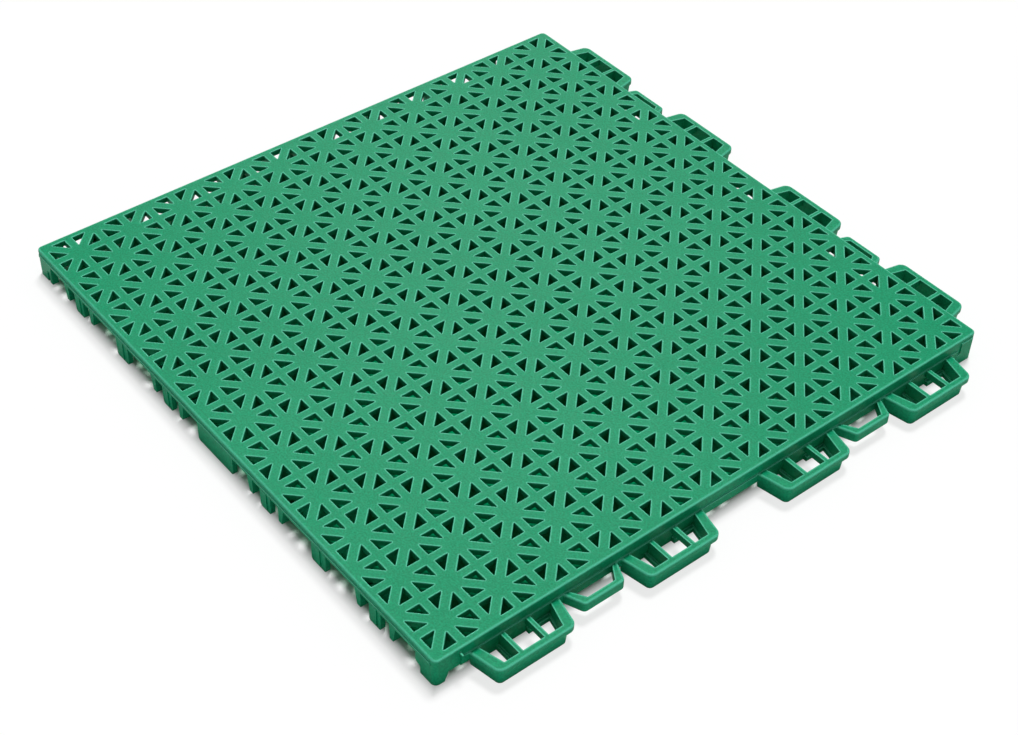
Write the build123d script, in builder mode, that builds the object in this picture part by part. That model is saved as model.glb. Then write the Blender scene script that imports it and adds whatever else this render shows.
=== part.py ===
# Interlocking sports floor tile, moulded in one piece: a lattice deck on short posts,
# loops on two edges and the prongs that drop into a neighbour's loops on the other two.
# Millimetres, Z up, origin on the floor under the middle of the deck.
import os
from math import sqrt

from build123d import *

# Deck: square cells whose crossings are, in turn, a star of eight bars and a plain cross
cell_count = 22
cell_pitch = 13.75
edge_margin = 1.15
tile_height = 14.3
deck_depth = 3.0
straight_bar = 4.1
diagonal_bar = 4.5
deck_corner_radius = 2.5
edge_round = 0.8

# Posts under the stars, square and drafted
post_width = 10.4
post_draft = 2.0

# Walls below the deck's rim: a stepped lip on the prong edges, a skirt on the loop edges
wall = 2.4
lip_height = 3.6
lip_step_height = 1.5
lip_step = 0.4
skirt_height = 9.6
skirt_step = 0.5

# Loops, set out along an edge at one pitch: large, small, large on each half
loop_pitch = 38.1
loop_drop = 5.2
large_root = 45.0
large_end = 38.0
large_reach = 15.0
large_rim_height = 2.8
large_corner_radius = 4.0
large_arm = 4.6
large_bar = 3.0
loop_round = 0.9
neck_root = 40.5
neck_end = 34.5
neck_reach = 14.5
neck_corner_radius = 3.0
neck_shift = 1.2
neck_draft = 5.0
crossbar = 2.0
crossbar_spread = 12.5
shallow_crossbar_height = 3.5
ledge = 1.3
ledge_height = 2.5
backing_width = 38.0
backing_clearance = 2.2
small_root = 29.5
small_end = 20.5
small_reach = 9.5
small_height = 4.8
small_corner_radius = 2.2
small_arm = 3.2
small_bar = 2.4

# Prongs and legs under the lip, facing the loops of the next tile
prong_spread = 23.0
fin_width = 4.0
fin_tip_width = 2.4
fin_depth = 8.5
fin_clearance = 1.5
tongue_width = 7.6
tongue_thick = 2.2
rib_width = 3.0
rib_step = 0.5
block_width = 10.0
centre_block_width = 27.0
tongue_radius = 1.2
leg_width = 12.0
leg_thick = 3.2
short_leg_width = 6.5
leg_notch_width = 3.0
leg_notch_height = 4.5
leg_slot_width = 1.6
leg_slot_height = 6.0
panel_step = 0.5
panel_drop = 2.0
panel_jog = 2.2
panel_jog_height = 5.0
nib_width = 0.7
nib_height = 3.2
nib_reach = 2.0
nib_drop = 2.4

lattice_size = cell_count * cell_pitch
deck_size = lattice_size + 2 * edge_margin
deck_face = deck_size / 2
deck_bottom = tile_height - deck_depth
loop_top = tile_height - loop_drop
lip_bottom = tile_height - lip_height
skirt_bottom = tile_height - skirt_height
hole_square = cell_pitch - straight_bar
hole_leg = hole_square - diagonal_bar / sqrt(2)
bury = wall / 2
large_places = [step * loop_pitch for step in (-3, -1, 1, 3)]
small_places = [step * loop_pitch for step in (-2, 2)]
diagonal_mirror = Plane((0, 0, 0), x_dir=(1, 1, 0), z_dir=(1, -1, 0))


# Four-sided outline that narrows from its root, at start, to its far end, at reach
def tapered_bay(root, end, reach, start):
    return [(start, -root / 2), (reach, -end / 2), (reach, end / 2), (start, root / 2)]


# Two triangular holes in every cell, on either side of its diagonal bar
with BuildSketch() as holes:
    half = hole_square / 2
    right_angle = (-half, half)
    lower_tip = (-half, half - hole_leg)
    upper_tip = (hole_leg - half, half)
    for column in (-0.5, 0.5):
        for row in (-0.5, 0.5):
            turn = 0 if column == row else 90
            with Locations((column * cell_pitch, row * cell_pitch)):
                with GridLocations(2 * cell_pitch, 2 * cell_pitch, cell_count // 2, cell_count // 2):
                    Polygon(right_angle, lower_tip, upper_tip, rotation=turn, align=None)
                    Polygon(right_angle, lower_tip, upper_tip, rotation=turn + 180, align=None)

with BuildSketch(Plane.XY.offset(deck_bottom)) as lattice:
    Rectangle(lattice_size, lattice_size)
    add(holes.sketch, mode=Mode.SUBTRACT)

with BuildPart() as deck:
    extrude(lattice.sketch, amount=deck_depth, clean=False)

# One post, then one under every star inside the rim
with BuildPart() as post:
    with BuildSketch(Plane.XY.offset(deck_bottom)):
        Rectangle(post_width, post_width)
    extrude(amount=-deck_bottom, taper=post_draft)

with BuildPart() as posts:
    star_count = cell_count // 2 - 1
    with GridLocations(2 * cell_pitch, 2 * cell_pitch, star_count, star_count):
        add(post.part, clean=False)
    with GridLocations(2 * cell_pitch, 2 * cell_pitch, star_count + 1, star_count + 1):
        add(post.part, clean=False)

# One large loop, X out from the deck's face: an upright rim, walls set in below it that narrow
# to the floor, ledges low in the outer cells, a tall and a shallow crossbar, the backing wall
with BuildPart() as large_loop:
    with BuildSketch(Plane.XY.offset(loop_top)) as large_rim:
        Polygon(*tapered_bay(large_root, large_end, large_reach, -bury), align=None)
        fillet(large_rim.vertices().group_by(Axis.X)[-1], large_corner_radius)
    extrude(amount=-large_rim_height)
    fillet(large_loop.faces().sort_by(Axis.Z)[-1].edges().sort_by(Axis.X)[1:], loop_round)
    with BuildSketch(Plane.XY.offset(loop_top - large_rim_height / 2)) as large_neck:
        with Locations((0, -neck_shift)):
            Polygon(*tapered_bay(neck_root, neck_end, neck_reach, -bury), align=None)
        fillet(large_neck.vertices().group_by(Axis.X)[-1], neck_corner_radius)
    extrude(amount=large_rim_height / 2 - loop_top, taper=neck_draft)
    with BuildSketch(Plane.XY):
        inner_reach = large_reach - large_bar
        inner_root = large_root - 2 * large_arm
        inner_end = large_end - 2 * large_arm
        Polygon(*tapered_bay(inner_root, inner_end, inner_reach, 0), align=None)
    extrude(amount=loop_top, mode=Mode.SUBTRACT)
    with BuildSketch(Plane.XY):
        Polygon(*tapered_bay(inner_root, inner_end, inner_reach, 0), align=None)
        with Locations((skirt_step + ledge, -ledge)):
            Polygon(*tapered_bay(inner_root, inner_end, large_reach, 0), align=None, mode=Mode.SUBTRACT)
        with Locations((0, crossbar_spread / 2)):
            Rectangle(2 * large_reach, large_root, align=(Align.CENTER, Align.MAX), mode=Mode.SUBTRACT)
        with Locations((inner_reach / 2, -(crossbar_spread + crossbar) / 2)):
            Rectangle(inner_reach, ledge, align=(Align.CENTER, Align.MAX))
    extrude(amount=ledge_height)
    bar_length = large_reach - large_bar / 2 + bury
    bar_middle = bar_length / 2 - bury
    with BuildSketch(Plane.XY):
        with Locations((bar_middle, -crossbar_spread / 2)):
            Rectangle(bar_length, crossbar)
    extrude(amount=loop_top)
    with BuildSketch(Plane.XY.offset(loop_top)):
        with Locations((bar_middle, crossbar_spread / 2)):
            Rectangle(bar_length, crossbar)
    extrude(amount=-shallow_crossbar_height)
    with BuildSketch(Plane.XY.offset(backing_clearance)):
        with Locations((-bury, 0)):
            Rectangle(wall, backing_width)
    extrude(amount=loop_top - backing_clearance)

# One small loop, held clear of the floor
with BuildPart() as small_loop:
    with BuildSketch(Plane.XY.offset(loop_top)) as small_rim:
        Polygon(*tapered_bay(small_root, small_end, small_reach, -bury), align=None)
        fillet(small_rim.vertices().group_by(Axis.X)[-1], small_corner_radius)
    extrude(amount=-small_height)
    fillet(small_loop.faces().sort_by(Axis.Z)[-1].edges().sort_by(Axis.X)[1:], loop_round)
    with BuildSketch(Plane.XY.offset(loop_top)):
        inner_reach = small_reach - small_bar
        inner_root = small_root - 2 * small_arm
        inner_end = small_end - 2 * small_arm
        Polygon(*tapered_bay(inner_root, inner_end, inner_reach, 0), align=None)
    extrude(amount=-small_height, mode=Mode.SUBTRACT)

# Loop edge on the +X side: skirt with its proud lower part and the row of loops
with BuildPart() as loop_edge:
    with BuildSketch(Plane.XY.offset(skirt_bottom)):
        with Locations((deck_face - wall / 2, 0)):
            Rectangle(wall, deck_size - 2 * deck_corner_radius)
    extrude(amount=deck_bottom - skirt_bottom)
    with BuildSketch(Plane.XY.offset(skirt_bottom)):
        with Locations((deck_face + skirt_step - wall / 2, 0)):
            Rectangle(wall, deck_size - 2 * leg_width)
    extrude(amount=loop_top - skirt_bottom)
    with Locations(*[(deck_face, place) for place in large_places]):
        add(large_loop.part)
    with Locations(*[(deck_face, place) for place in small_places]):
        add(small_loop.part)

# Prong edge on the -Y side, drawn from the front: ribbed blocks and tongues, then fins
front = Plane.XZ.offset(deck_face)
with BuildPart() as prong_edge:
    with BuildSketch(Plane.XY.offset(lip_bottom)):
        with Locations((0, wall / 2 - deck_face)):
            Rectangle(deck_size - 2 * deck_corner_radius, wall)
    extrude(amount=deck_bottom - lip_bottom)
    with BuildSketch(front):
        with Locations((0, lip_bottom)):
            Rectangle(deck_size - 2 * deck_corner_radius, lip_step_height, align=(Align.CENTER, Align.MIN))
    extrude(amount=lip_step)
    with BuildSketch(front) as tongues:
        upright = (Align.CENTER, Align.MIN)
        Rectangle(centre_block_width, deck_bottom, align=upright)
        with Locations(*[(place, 0) for place in small_places]):
            Rectangle(block_width, deck_bottom, align=upright)
        with Locations(*[(place, 0) for place in large_places]):
            Rectangle(tongue_width, deck_bottom, align=upright)
        fillet(tongues.vertices().group_by(Axis.Y)[0], tongue_radius)
    extrude(amount=-tongue_thick)
    with BuildSketch(front):
        with Locations(*[(place, tongue_radius) for place in small_places + large_places]):
            Rectangle(rib_width, lip_bottom - tongue_radius, align=upright)
    extrude(amount=rib_step)
    with BuildSketch(front):
        for place in large_places:
            for side in (-1, 1):
                inner = place + side * (prong_spread - fin_width) / 2
                Polygon(
                    (inner, deck_bottom),
                    (inner, fin_clearance),
                    (inner + side * fin_tip_width, fin_clearance),
                    (inner + side * fin_width, deck_bottom),
                    align=None,
                )
    extrude(amount=-fin_depth)

# Cuts that shape the legs of the -Y and +X sides: a notch, a slot and a short leg, each with
# its inner edge drawn as an S
side_face = Plane.YZ.offset(deck_face)
with BuildPart() as leg_cuts:
    with BuildSketch(front) as prong_side_cuts:
        with BuildLine():
            inner = deck_face - leg_width
            notched = inner + leg_notch_width
            swell = Spline(
                (inner, leg_notch_height + leg_notch_width / 2),
                (notched, leg_notch_height - leg_notch_width / 2),
                tangents=((0, -1), (0, -1)),
            )
            Polyline(swell @ 1, (notched, 0), (inner, 0), swell @ 0)
        make_face()
        with Locations((leg_width - leg_notch_width - deck_face, 0)):
            Rectangle(leg_slot_width, leg_slot_height, align=(Align.CENTER, Align.MIN))
    extrude(amount=-leg_thick)
    with BuildSketch(side_face):
        with BuildLine():
            short = short_leg_width - deck_face
            swell = Spline(
                (short, skirt_bottom),
                (short - leg_notch_width / 2, 0),
                tangents=((0, -1), (0, -1)),
            )
            Polyline(swell @ 1, (leg_width - deck_face, 0), (leg_width - deck_face, skirt_bottom), swell @ 0)
        make_face()
    extrude(amount=-leg_thick)

# Proud panel with an S-shaped edge and the small nib on the +X side's ends
with BuildPart() as side_trim:
    with BuildSketch(side_face):
        with BuildLine():
            panel_top = tile_height - panel_drop
            panel_end = deck_face - deck_corner_radius
            upper = deck_face - leg_width + panel_jog
            lower = deck_face - leg_width
            swell = Spline(
                (upper, panel_jog_height + panel_jog),
                (lower, panel_jog_height),
                tangents=((0, -1), (0, -1)),
            )
            Polyline(swell @ 1, (lower, 0), (panel_end, 0), (panel_end, panel_top), (upper, panel_top), swell @ 0)
        make_face()
    extrude(amount=panel_step)
    with BuildSketch(side_face):
        with Locations((leg_width - deck_face, tile_height - nib_drop)):
            Rectangle(nib_width, nib_height, align=(Align.CENTER, Align.MAX))
    extrude(amount=nib_reach)

# Legs at the corners, angled in plan and rounded like the deck
with BuildPart() as legs:
    with BuildSketch(Plane.XY):
        RectangleRounded(deck_size, deck_size, deck_corner_radius)
        Rectangle(deck_size - 2 * leg_thick, deck_size - 2 * leg_thick, mode=Mode.SUBTRACT)
        Rectangle(deck_size - 2 * leg_width, deck_size, mode=Mode.SUBTRACT)
        Rectangle(deck_size, deck_size - 2 * leg_width, mode=Mode.SUBTRACT)
    extrude(amount=deck_bottom)
    add(leg_cuts.part, mode=Mode.SUBTRACT)
    add(mirror(leg_cuts.part, about=diagonal_mirror, mode=Mode.PRIVATE), mode=Mode.SUBTRACT)

# Rim round the lattice with its rounded edge, carrying the legs, loop edges and prong edges
with BuildPart() as rim:
    with BuildSketch(Plane.XY.offset(deck_bottom)):
        RectangleRounded(deck_size, deck_size, deck_corner_radius)
    extrude(amount=deck_depth)
    fillet(rim.faces().sort_by(Axis.Z)[-1].edges(), edge_round)
    with BuildSketch(Plane.XY.offset(deck_bottom)):
        Rectangle(lattice_size, lattice_size)
    extrude(amount=deck_depth, mode=Mode.SUBTRACT)
    add(legs.part)
    add(loop_edge.part)
    add(loop_edge.part, rotation=(0, 0, 90))
    for edge in (prong_edge, side_trim):
        add(edge.part)
        add(mirror(edge.part, about=diagonal_mirror, mode=Mode.PRIVATE))

# The whole tile is one moulding
floor_tile = deck.part.fuse(rim.part, *posts.part.solids(), glue=True).clean()
floor_tile.label = "floor_tile"

os.makedirs("parts", exist_ok=True)
export_step(floor_tile, "parts/floor_tile.step")
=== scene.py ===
from math import atan2, cos, pi, radians, sin, sqrt, tan

import bmesh
import bpy
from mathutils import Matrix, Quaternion, Vector


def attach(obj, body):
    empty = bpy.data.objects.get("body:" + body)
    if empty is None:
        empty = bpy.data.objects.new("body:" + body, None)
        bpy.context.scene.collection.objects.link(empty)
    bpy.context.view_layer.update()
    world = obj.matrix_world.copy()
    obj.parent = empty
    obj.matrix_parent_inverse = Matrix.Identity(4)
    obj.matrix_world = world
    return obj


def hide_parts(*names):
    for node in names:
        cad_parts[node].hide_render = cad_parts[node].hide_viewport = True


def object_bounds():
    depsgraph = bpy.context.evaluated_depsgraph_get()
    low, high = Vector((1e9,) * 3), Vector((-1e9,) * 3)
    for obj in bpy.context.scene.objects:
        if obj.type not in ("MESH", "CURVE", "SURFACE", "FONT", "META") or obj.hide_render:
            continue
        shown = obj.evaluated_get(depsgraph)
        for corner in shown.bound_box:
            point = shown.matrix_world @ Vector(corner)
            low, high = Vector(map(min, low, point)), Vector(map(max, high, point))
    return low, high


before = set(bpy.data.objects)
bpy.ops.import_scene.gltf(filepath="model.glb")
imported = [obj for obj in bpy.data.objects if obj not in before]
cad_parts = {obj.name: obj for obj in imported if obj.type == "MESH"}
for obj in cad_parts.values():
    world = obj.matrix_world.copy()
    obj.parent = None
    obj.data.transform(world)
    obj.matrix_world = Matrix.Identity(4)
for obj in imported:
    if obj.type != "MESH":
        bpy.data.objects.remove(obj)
cadBox = [list(map(float, corner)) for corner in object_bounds()]
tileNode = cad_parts["floor_tile"]
tileTop = cadBox[1][2]
print("stage: frame loaded", cadBox)

mm = 0.001
white = (1, 1, 1, 1)
squareCorners = ((-1, -1), (1, -1), (1, 1), (-1, 1))


def newMeshObject(name, bm):
    mesh = bpy.data.meshes.new(name)
    bm.to_mesh(mesh)
    bm.free()
    obj = bpy.data.objects.new(name, mesh)
    bpy.context.scene.collection.objects.link(obj)
    return obj


# Plain mesh of an object, with its modifiers applied
def appliedMesh(obj):
    ready = obj.evaluated_get(bpy.context.evaluated_depsgraph_get())
    return bpy.data.meshes.new_from_object(ready)


# Quads between two rings of points
def bridgeRings(bm, lower, upper):
    count = len(lower)
    for k in range(count):
        after = (k + 1) % count
        bm.faces.new((lower[k], lower[after], upper[after], upper[k]))


# New node: an input given a socket is linked to it, any other input takes a constant value
def addNode(tree, kind, inputs, **settings):
    node = tree.nodes.new(kind)
    for key, value in settings.items():
        setattr(node, key, value)
    for key, value in inputs.items():
        if isinstance(value, bpy.types.NodeSocket):
            tree.links.new(value, node.inputs[key])
        else:
            node.inputs[key].default_value = value
    return node


def mathNode(tree, operation, first, second):
    node = addNode(tree, "ShaderNodeMath", {0: first, 1: second}, operation=operation)
    return node.outputs[0]


def mapRange(tree, value, start, end, low=0.0, high=1.0):
    ranges = {"From Min": start, "From Max": end, "To Min": low, "To Max": high}
    return addNode(tree, "ShaderNodeMapRange", {"Value": value, **ranges}).outputs["Result"]


def mixTones(tree, factor, first, second):
    inputs = {"Factor": factor, "A": first, "B": second}
    return addNode(tree, "ShaderNodeMix", inputs, data_type="RGBA").outputs["Result"]


# Surface of a material or world: its first shader, with a share of the second
def mixSurfaces(tree, factor, first, second, output):
    inputs = {0: factor, 1: first.outputs[0], 2: second.outputs[0]}
    pick = addNode(tree, "ShaderNodeMixShader", inputs)
    tree.links.new(pick.outputs[0], tree.nodes[output].inputs["Surface"])


def cameraRay(tree):
    return tree.nodes.new("ShaderNodeLightPath").outputs["Is Camera Ray"]


# Lattice of the deck, as in the part: cells, bars and the depth of the bars
lattice = {
    "count": 22,
    "pitch": 13.75 * mm,
    "straightBar": 4.1 * mm,
    "diagonalBar": 4.5 * mm,
    "depth": 3.0 * mm,
    "holeCorner": 0.15 * mm,
    "edgeRound": 0.28 * mm,
    "cornerSteps": 2,
    "roundSteps": 3,
    "mergeGap": 0.002 * mm,
}


# Rounded outline of a hole: each corner is an arc about a point inside the corner
def roundedOutline(corners, radius, grow, steps):
    points = []
    reach = radius + grow
    for index, corner in enumerate(corners):
        before = (corners[index - 1] - corner).normalized()
        after = (corners[(index + 1) % len(corners)] - corner).normalized()
        halfAngle = before.angle(after) / 2
        centre = corner + (before + after).normalized() * (radius / sin(halfAngle))
        # The arc runs from square to one side to square to the other, away from the hole
        ways = [Vector((side.y, -side.x)) for side in (before, after)]
        startWay, endWay = (-way if way.dot(centre - corner) > 0 else way for way in ways)
        startTurn = atan2(startWay.y, startWay.x)
        sweep = atan2(startWay.cross(endWay), startWay.dot(endWay))
        for step in range(steps + 1):
            turn = startTurn + sweep * step / steps
            points.append(centre + Vector((cos(turn), sin(turn))) * reach)
    return points


# One cell of the deck with its two triangular holes, edges of the holes rounded at the top
def makeCell(settings):
    half = settings["pitch"] / 2
    inner = half - settings["straightBar"] / 2
    leg = 2 * inner - settings["diagonalBar"] / sqrt(2)
    top = tileTop
    bottom = tileTop - settings["depth"]
    rounding = settings["edgeRound"]
    levels = [(0.0, bottom)]
    for step in range(settings["roundSteps"] + 1):
        turn = pi / 2 * step / settings["roundSteps"]
        levels.append((rounding * (1 - cos(turn)), top - rounding * (1 - sin(turn))))
    bm = bmesh.new()
    topRings, bottomRings = (
        [[bm.verts.new((x * half, y * half, height)) for x, y in squareCorners]]
        for height in (top, bottom)
    )
    for side in (1, -1):
        corners = [
            Vector((-inner, inner)) * side,
            Vector((-inner, inner - leg)) * side,
            Vector((leg - inner, inner)) * side,
        ]
        rings = []
        for grow, height in levels:
            outline = roundedOutline(corners, settings["holeCorner"], grow, settings["cornerSteps"])
            rings.append([bm.verts.new((p.x, p.y, height)) for p in outline])
        for lower, upper in zip(rings, rings[1:]):
            bridgeRings(bm, lower, upper)
        topRings.append(rings[-1])
        bottomRings.append(rings[0])
    for rings in (topRings, bottomRings):
        edges = []
        for ring in rings:
            for k, vert in enumerate(ring):
                other = ring[(k + 1) % len(ring)]
                edges.append(bm.edges.get((vert, other)) or bm.edges.new((vert, other)))
        bmesh.ops.triangle_fill(bm, use_beauty=True, edges=edges)
    bmesh.ops.recalc_face_normals(bm, faces=bm.faces)
    # The flat faces look up on the deck and down under it
    flat = 0.99
    for face in bm.faces:
        aim = 1 if face.calc_center_median().z > (top + bottom) / 2 else -1
        if abs(face.normal.z) > flat and face.normal.z * aim < 0:
            face.normal_flip()
    return newMeshObject("cellShape", bm)


# Posts under the stars: width across flats under the deck, and draft
post = {"width": 10.4 * mm, "draft": radians(2.0), "sides": 4, "footRound": 0.4 * mm}


# One post, open at its top where it joins the deck
def makePost(settings, height):
    bm = bmesh.new()
    sides = settings["sides"]
    rounding = settings["footRound"]
    corner = 1 / cos(pi / sides)
    foot = settings["width"] / 2 - height * tan(settings["draft"])
    levels = [(settings["width"] / 2, height), (foot, rounding), (foot - rounding, 0.0)]
    rings = []
    for across, z in levels:
        ring = []
        for k in range(sides):
            turn = 2 * pi * (k + 0.5) / sides
            ring.append(bm.verts.new((across * corner * cos(turn), across * corner * sin(turn), z)))
        rings.append(ring)
    for upper, lower in zip(rings, rings[1:]):
        bridgeRings(bm, lower, upper)
    bm.faces.new(list(reversed(rings[-1])))
    return newMeshObject("postShape", bm)


# Geometry Nodes: cells on a grid, every second one turned, and a post under every star
def latticeTree():
    tree = bpy.data.node_groups.new("latticeDeck", "GeometryNodeTree")
    face = tree.interface
    face.new_socket("Geometry", in_out="INPUT", socket_type="NodeSocketGeometry")
    sockets = {}
    for name, kind in (
        ("Count", "NodeSocketInt"),
        ("Pitch", "NodeSocketFloat"),
        ("Merge Gap", "NodeSocketFloat"),
        ("Cell", "NodeSocketObject"),
        ("Post", "NodeSocketObject"),
        ("Material", "NodeSocketMaterial"),
    ):
        sockets[name] = face.new_socket(name, in_out="INPUT", socket_type=kind).identifier
    face.new_socket("Geometry", in_out="OUTPUT", socket_type="NodeSocketGeometry")
    entry = tree.nodes.new("NodeGroupInput")
    leave = tree.nodes.new("NodeGroupOutput")

    # Square grid of points, with the parity of each point's row and column
    def grid(count):
        steps = mathNode(tree, "SUBTRACT", count, 1)
        span = mathNode(tree, "MULTIPLY", steps, entry.outputs["Pitch"])
        sizes = {"Size X": span, "Size Y": span, "Vertices X": count, "Vertices Y": count}
        points = addNode(tree, "GeometryNodeMeshGrid", sizes).outputs["Mesh"]
        index = tree.nodes.new("GeometryNodeInputIndex").outputs[0]
        column = mathNode(tree, "MODULO", index, count)
        row = mathNode(tree, "FLOOR", mathNode(tree, "DIVIDE", index, count), 0)
        return points, mathNode(tree, "MODULO", mathNode(tree, "ADD", column, row), 2)

    # The shape at each point of a grid
    def place(name, points, **choice):
        shape = addNode(tree, "GeometryNodeObjectInfo", {"Object": entry.outputs[name]})
        inputs = {"Points": points, "Instance": shape.outputs["Geometry"], **choice}
        return addNode(tree, "GeometryNodeInstanceOnPoints", inputs).outputs[0]

    cellPoints, cellParity = grid(entry.outputs["Count"])
    quarterTurn = mathNode(tree, "MULTIPLY", cellParity, pi / 2)
    turn = addNode(tree, "ShaderNodeCombineXYZ", {"Z": quarterTurn})
    cells = place("Cell", cellPoints, Rotation=turn.outputs[0])
    postPoints, postParity = grid(mathNode(tree, "SUBTRACT", entry.outputs["Count"], 1))
    isStar = mathNode(tree, "LESS_THAN", postParity, 0.5)
    posts = place("Post", postPoints, Selection=isStar)

    join = tree.nodes.new("GeometryNodeJoinGeometry")
    for part in (cells, posts):
        tree.links.new(part, join.inputs[0])
    result = addNode(tree, "GeometryNodeRealizeInstances", {0: join.outputs[0]}).outputs[0]
    for kind, key, name in (
        ("GeometryNodeMergeByDistance", "Distance", "Merge Gap"),
        ("GeometryNodeSetMaterial", "Material", "Material"),
    ):
        result = addNode(tree, kind, {"Geometry": result, key: entry.outputs[name]}).outputs[0]
    tree.links.new(result, leave.inputs[0])
    return tree, sockets


# Lattice and posts by the tree, turned into a plain mesh
def buildDeck(material):
    cell = makeCell(lattice)
    postShape = makePost(post, tileTop - lattice["depth"])
    tree, sockets = latticeTree()
    carrier = newMeshObject("deckCarrier", bmesh.new())
    modifier = carrier.modifiers.new("lattice", "NODES")
    modifier.node_group = tree
    values = {
        "Count": lattice["count"],
        "Pitch": lattice["pitch"],
        "Merge Gap": lattice["mergeGap"],
        "Cell": cell,
        "Post": postShape,
        "Material": material,
    }
    for name, value in values.items():
        modifier[sockets[name]] = value
    mesh = appliedMesh(carrier)
    carrier.modifiers.clear()
    for helper in (carrier, cell, postShape):
        bpy.data.objects.remove(helper)
    return mesh


# Rim, loops and prongs: what is kept of the CAD node, and its softened edges
border = {
    "keepOutside": 8.6 * mm,
    "soften": 0.3 * mm,
    "softenSteps": 2,
    "sharpAngle": radians(50),
    "flatAngle": radians(1),
    "weldGap": 0.001 * mm,
    "cutGap": 0.0005 * mm,
    "slack": 0.01 * mm,
}


# The border from the CAD node, cut free of the lattice and given soft edges
def buildBorder():
    bm = bmesh.new()
    bm.from_mesh(tileNode.data)
    bmesh.ops.remove_doubles(bm, verts=bm.verts, dist=border["weldGap"])
    latticeEdge = lattice["count"] * lattice["pitch"] / 2
    underside = tileTop - lattice["depth"]
    for axis in range(2):
        for side in (-1, 1):
            normal = Vector((0, 0, 0))
            normal[axis] = side
            bmesh.ops.bisect_plane(
                bm,
                geom=bm.verts[:] + bm.edges[:] + bm.faces[:],
                plane_co=normal * latticeEdge,
                plane_no=normal,
                dist=border["cutGap"],
            )
    slack = border["slack"]
    keepOut = latticeEdge - border["keepOutside"]
    doomed = []
    for face in bm.faces:
        middle = face.calc_center_median()
        reach = max(abs(middle.x), abs(middle.y))
        inLattice = reach < latticeEdge - slack and middle.z > underside - slack
        if inLattice or reach < keepOut:
            doomed.append(face)
    bmesh.ops.delete(bm, geom=doomed, context="FACES")
    bmesh.ops.dissolve_limit(bm, angle_limit=border["flatAngle"], verts=bm.verts, edges=bm.edges)
    obj = newMeshObject("borderShape", bm)
    soften = obj.modifiers.new("soften", "BEVEL")
    soften.width = border["soften"]
    soften.segments = border["softenSteps"]
    soften.limit_method = "ANGLE"
    soften.angle_limit = border["sharpAngle"]
    soften.use_clamp_overlap = True
    mesh = appliedMesh(obj)
    bpy.data.objects.remove(obj)
    return mesh


# Deck and border in one mesh, smooth between its sharp edges and level on its flat faces
def buildTile(material):
    shading = {"sharpAngle": radians(34), "flatWeight": 100, "mostSides": 4}
    bm = bmesh.new()
    bm.from_mesh(buildDeck(material))
    print("stage: lattice made", len(bm.faces))
    bm.from_mesh(buildBorder())
    manySided = [face for face in bm.faces if len(face.verts) > shading["mostSides"]]
    bmesh.ops.triangulate(bm, faces=manySided)
    for face in bm.faces:
        face.material_index = 0
        face.smooth = True
    rough = newMeshObject("roughTile", bm)
    rough.data.set_sharp_from_angle(angle=shading["sharpAngle"])
    level = rough.modifiers.new("level", "WEIGHTED_NORMAL")
    level.keep_sharp = True
    level.weight = shading["flatWeight"]
    obj = bpy.data.objects.new("floorTile", appliedMesh(rough))
    bpy.context.scene.collection.objects.link(obj)
    bpy.data.objects.remove(rough)
    obj.data.materials.append(material)
    print("stage: tile made", sum(len(p.vertices) - 2 for p in obj.data.polygons))
    return obj


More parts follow.
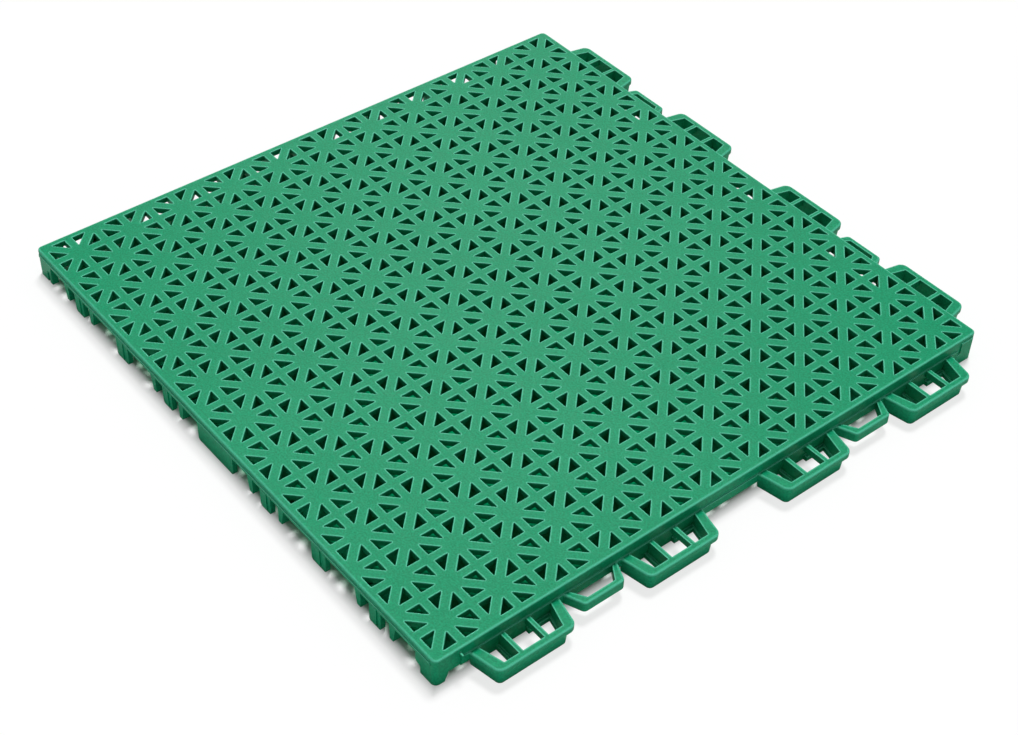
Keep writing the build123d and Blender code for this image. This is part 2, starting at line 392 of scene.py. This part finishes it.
# Moulded green plastic: fine matte grain, uneven colour and gloss, painted highlight lines on its
# upward edges
def tilePlastic():
    look = {
        "deepTone": (0.003, 0.250, 0.112, 1),
        "lightTone": (0.010, 0.288, 0.136, 1),
        "toneScale": 14.0,
        "toneDetail": 3.0,
        "grainScale": 1250.0,
        "grainDetail": 2.0,
        "grainHeight": 0.05 * mm,
        "grainStrength": 0.5,
        "fleckFrom": 0.3,
        "fleckTo": 0.7,
        "fleckShare": 0.22,
        "glossScale": 320.0,
        "glossDetail": 2.0,
        "roughLow": 0.30,
        "roughHigh": 0.40,
        "ior": 1.49,
        "specular": 0.05,
        "highlightTone": (0.130, 0.640, 0.430, 1),
        "edgeReach": 1.0 * mm,
        "edgeSamples": 4,
        "edgeFull": 0.97,
        "upFrom": 0.15,
        "upTo": 0.5,
    }
    material = bpy.data.materials.new("greenPlastic")
    material.use_nodes = True
    tree = material.node_tree
    shader = tree.nodes["Principled BSDF"]
    place = tree.nodes.new("ShaderNodeTexCoord").outputs["Object"]

    def noise(name):
        inputs = {"Vector": place, "Scale": look[name + "Scale"], "Detail": look[name + "Detail"]}
        return addNode(tree, "ShaderNodeTexNoise", inputs).outputs["Fac"]

    grain = noise("grain")
    tint = mixTones(tree, noise("tone"), look["deepTone"], look["lightTone"])
    share = look["fleckShare"]
    fleck = mapRange(tree, grain, look["fleckFrom"], look["fleckTo"], 1 - share, 1 + share)
    shade = addNode(tree, "ShaderNodeVectorMath", {0: tint, "Scale": fleck}, operation="SCALE")
    roughness = mapRange(tree, noise("gloss"), 0.0, 1.0, look["roughLow"], look["roughHigh"])

    # Painted highlight line where the softened normal leaves the face's own, on edges that face up
    reach = {"Radius": look["edgeReach"]}
    soft = addNode(tree, "ShaderNodeBevel", reach, samples=look["edgeSamples"]).outputs["Normal"]
    own = tree.nodes.new("ShaderNodeNewGeometry").outputs["Normal"]
    turned = addNode(tree, "ShaderNodeVectorMath", {0: soft, 1: own}, operation="DOT_PRODUCT")
    highlightLine = mapRange(tree, turned.outputs["Value"], 1.0, look["edgeFull"])
    height = addNode(tree, "ShaderNodeSeparateXYZ", {0: soft}).outputs["Z"]
    upward = mapRange(tree, height, look["upFrom"], look["upTo"])
    highlightMask = mathNode(tree, "MULTIPLY", highlightLine, upward)
    # Painted highlight: a lighter tone mixed into the colour along the upward edges
    highlighted = mixTones(tree, highlightMask, shade.outputs["Vector"], look["highlightTone"])

    relief = {"Strength": look["grainStrength"], "Distance": look["grainHeight"], "Height": grain}
    bump = addNode(tree, "ShaderNodeBump", relief).outputs["Normal"]
    for key, socket in (("Base Color", highlighted), ("Roughness", roughness), ("Normal", bump)):
        tree.links.new(socket, shader.inputs[key])
    shader.inputs["IOR"].default_value = look["ior"]
    shader.inputs["Specular IOR Level"].default_value = look["specular"]
    return material


tile = buildTile(tilePlastic())
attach(tile, "root")
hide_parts("floor_tile")


# Studio floor: painted green shade under the deck, and beyond it a white glow to the camera that
# pales the floor and lightens its shadow
def buildFloor():
    stage = {
        "size": 6.0,
        "drop": 0.05 * mm,
        "roughness": 0.9,
        "specular": 0.1,
        "tone": (0.93, 0.93, 0.93, 1),
        "paintedShadeTone": (0.002, 0.42, 0.16, 1),
        "paintedShadeStart": 146 * mm,
        "paintedShadeEnd": 152 * mm,
        "glow": 1.0,
        "glowShare": 0.75,
        "glowStart": 150 * mm,
        "glowEnd": 156 * mm,
    }
    size = stage["size"]
    bm = bmesh.new()
    bm.faces.new([bm.verts.new((x * size, y * size, -stage["drop"])) for x, y in squareCorners])
    floor = newMeshObject("studioFloor", bm)
    material = bpy.data.materials.new("paleFloor")
    material.use_nodes = True
    tree = material.node_tree
    shader = tree.nodes["Principled BSDF"]
    shader.inputs["Roughness"].default_value = stage["roughness"]
    shader.inputs["Specular IOR Level"].default_value = stage["specular"]
    # How far out a point lies on the floor, along X or Y
    place = tree.nodes.new("ShaderNodeTexCoord").outputs["Object"]
    sides = addNode(tree, "ShaderNodeVectorMath", {0: place}, operation="ABSOLUTE")
    split = addNode(tree, "ShaderNodeSeparateXYZ", {0: sides.outputs["Vector"]})
    reach = mathNode(tree, "MAXIMUM", split.outputs["X"], split.outputs["Y"])
    clearOfPaintedShade = mapRange(tree, reach, stage["paintedShadeStart"], stage["paintedShadeEnd"])
    # Painted shade: the floor under the deck takes a green tone in place of the shaded underside
    tone = mixTones(tree, clearOfPaintedShade, stage["paintedShadeTone"], stage["tone"])
    tree.links.new(tone, shader.inputs["Base Color"])
    beyond = mapRange(tree, reach, stage["glowStart"], stage["glowEnd"], high=stage["glowShare"])
    glow = addNode(tree, "ShaderNodeEmission", {"Color": white, "Strength": stage["glow"]})
    seen = mathNode(tree, "MULTIPLY", beyond, cameraRay(tree))
    mixSurfaces(tree, seen, shader, glow, "Material Output")
    floor.data.materials.append(material)


# White surroundings to the camera, softer white for the light they give
def buildLight():
    # The key lights the form, the sheen only shows as gloss on the deck
    studio = {
        "worldLight": 0.32,
        "keyLight": {
            "from": (-0.30, 0.40, 1.0), "spread": radians(14), "strength": 2.75, "sheen": False,
        },
        "sheenLight": {
            "from": (-0.78, 0.63, 1.0), "spread": radians(22), "strength": 1.4, "sheen": True,
        },
    }
    world = bpy.data.worlds.new("studio")
    bpy.context.scene.world = world
    world.use_nodes = True
    tree = world.node_tree
    given = tree.nodes["Background"]
    given.inputs["Color"].default_value = white
    given.inputs["Strength"].default_value = studio["worldLight"]
    seen = addNode(tree, "ShaderNodeBackground", {"Color": white})
    mixSurfaces(tree, cameraRay(tree), given, seen, "World Output")
    for name in ("keyLight", "sheenLight"):
        settings = studio[name]
        lamp = bpy.data.lights.new(name, "SUN")
        lamp.angle = settings["spread"]
        lamp.energy = settings["strength"]
        obj = bpy.data.objects.new(name, lamp)
        obj.rotation_mode = "QUATERNION"
        obj.rotation_quaternion = (-Vector(settings["from"])).to_track_quat("-Z", "Y")
        obj.visible_diffuse = not settings["sheen"]
        obj.visible_glossy = settings["sheen"]
        bpy.context.scene.collection.objects.link(obj)


# The photograph's viewpoint, fitted to the corners of the lattice
def buildCamera():
    view = {
        "place": (494.4 * mm, -409.8 * mm, 563.4 * mm),
        "aim": (43.6 * mm, -29.3 * mm, 14.3 * mm),
        "roll": radians(1.93),
        "lens": 65.57,
        "sensor": 36.0,
        "farClip": 50.0,
    }
    data = bpy.data.cameras.new("photoCamera")
    data.lens = view["lens"]
    data.sensor_fit = "HORIZONTAL"
    data.sensor_width = view["sensor"]
    data.clip_end = view["farClip"]
    obj = bpy.data.objects.new("photoCamera", data)
    obj.location = view["place"]
    look = (Vector(view["aim"]) - Vector(view["place"])).to_track_quat("-Z", "Y")
    obj.rotation_mode = "QUATERNION"
    obj.rotation_quaternion = look @ Quaternion((0, 0, 1), view["roll"])
    bpy.context.scene.collection.objects.link(obj)
    bpy.context.scene.camera = obj


buildFloor()
buildLight()
buildCamera()
bpy.context.scene.view_settings.view_transform = "Standard"
print("stage: studio made")
